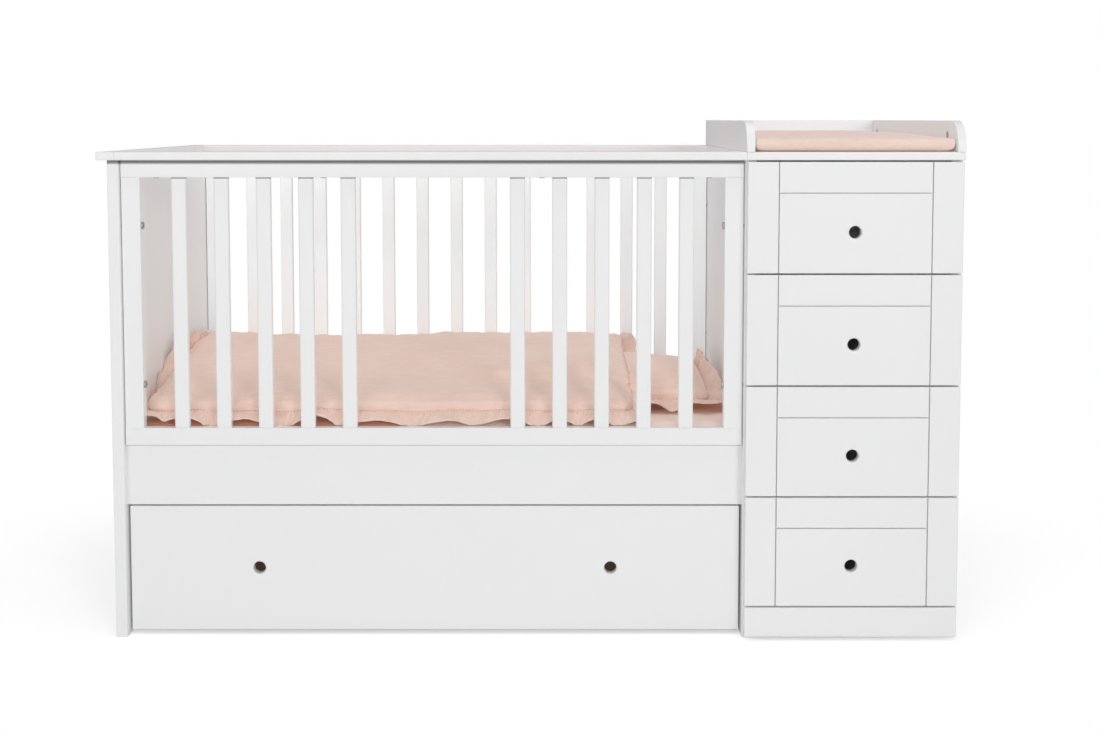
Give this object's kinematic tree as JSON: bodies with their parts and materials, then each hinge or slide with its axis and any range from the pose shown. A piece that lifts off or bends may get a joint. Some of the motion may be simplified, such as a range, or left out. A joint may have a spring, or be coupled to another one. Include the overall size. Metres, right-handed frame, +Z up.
{
  "type": "crib with attached changing cabinet",
  "caption": "White slatted crib with a drawer beneath it and a tall cabinet of drawers at one end, topped by a walled changing tray with a pad.",
  "frame": {"origin": "centre of the footprint's bounding box, on the floor", "axes": "+Z up, front faces -Y, +X from the crib towards the drawer cabinet"},
  "size_m": [1.668, 0.694, 1.016],
  "materials": {
    "white_lacquer": "satin white lacquer on board and timber",
    "white_board": "white foil on chipboard",
    "raw_timber": "sanded, unfinished",
    "bright_steel": "zinc plated",
    "castor_plastic": "moulded, matt",
    "sheet_cotton": "dusty pink fitted sheet, plain weave",
    "bedding_cotton": "dusty pink crinkled cotton with gathered edges",
    "pad_cotton": "dusty pink cotton cover"
  },
  "bodies": {
    "crib": {"left_end_panel": "white_lacquer", "shared_side_panel": "white_lacquer", "right_side_panel": "white_lacquer", "cap_left": "white_lacquer", "cap_front": "white_lacquer", "cap_back": "white_lacquer", "cap_screws": "bright_steel", "front_top_rail": "white_lacquer", "front_bottom_rail": "white_lacquer", "front_stile_left": "white_lacquer", "front_stile_right": "white_lacquer", "front_slats_left": "white_lacquer", "front_slats_right": "white_lacquer", "back_top_rail": "white_lacquer", "back_bottom_rail": "white_lacquer", "back_stiles": "white_lacquer", "back_slats": "white_lacquer", "frame_bolts": "bright_steel", "front_fascia": "white_lacquer", "rear_board": "white_lacquer", "base_battens": "raw_timber", "base_slats": "raw_timber", "mattress": "sheet_cotton", "duvet": "bedding_cotton", "pillow": "bedding_cotton", "cabinet_top": "white_lacquer", "cabinet_bottom": "white_board", "cabinet_back": "white_board", "plinth": "white_lacquer", "cabinet_runners": "bright_steel", "tray_wall_left": "white_lacquer", "tray_wall_right": "white_lacquer", "tray_wall_back": "white_lacquer", "cam_fittings": "bright_steel", "changing_pad": "pad_cotton"},
    "drawer_1": {"drawer_1_front": "white_lacquer", "drawer_1_box": "white_board", "drawer_1_bottom": "white_board", "drawer_1_runners": "bright_steel"},
    "drawer_2": {"drawer_2_front": "white_lacquer", "drawer_2_box": "white_board", "drawer_2_bottom": "white_board", "drawer_2_runners": "bright_steel"},
    "drawer_3": {"drawer_3_front": "white_lacquer", "drawer_3_box": "white_board", "drawer_3_bottom": "white_board", "drawer_3_runners": "bright_steel"},
    "drawer_4": {"drawer_4_front": "white_lacquer", "drawer_4_box": "white_board", "drawer_4_bottom": "white_board", "drawer_4_runners": "bright_steel"},
    "bed_drawer": {"bed_drawer_front": "white_lacquer", "bed_drawer_box": "white_board", "bed_drawer_bottom": "white_board", "castor_housings": "castor_plastic", "castor_axles": "bright_steel"},
    "wheels_front": {"castor_wheels_front": "castor_plastic"},
    "wheels_rear": {"castor_wheels_rear": "castor_plastic"}
  },
  "joints": [
    {"name": "drawer_1_slide", "type": "slide", "parent": "crib", "child": "drawer_1", "axis": [0, -1, 0], "range_m": [0, 0.36]},
    {"name": "drawer_2_slide", "type": "slide", "parent": "crib", "child": "drawer_2", "axis": [0, -1, 0], "range_m": [0, 0.36]},
    {"name": "drawer_3_slide", "type": "slide", "parent": "crib", "child": "drawer_3", "axis": [0, -1, 0], "range_m": [0, 0.36]},
    {"name": "drawer_4_slide", "type": "slide", "parent": "crib", "child": "drawer_4", "axis": [0, -1, 0], "range_m": [0, 0.36]},
    {"name": "bed_drawer_slide", "type": "slide", "parent": "crib", "child": "bed_drawer", "axis": [0, -1, 0], "range_m": [0, 0.5]},
    {"name": "wheels_front_roll", "type": "hinge", "parent": "bed_drawer", "child": "wheels_front", "pos_m": [-0.191, -0.237, 0.018], "axis": [1, 0, 0], "continuous": true},
    {"name": "wheels_rear_roll", "type": "hinge", "parent": "bed_drawer", "child": "wheels_rear", "pos_m": [-0.191, 0.203, 0.018], "axis": [1, 0, 0], "continuous": true}
  ],
  "couplings": [
    {"joint": "wheels_front_roll", "follows": "bed_drawer_slide", "rad_per_m": 55.556},
    {"joint": "wheels_rear_roll", "follows": "bed_drawer_slide", "rad_per_m": 55.556}
  ]
}
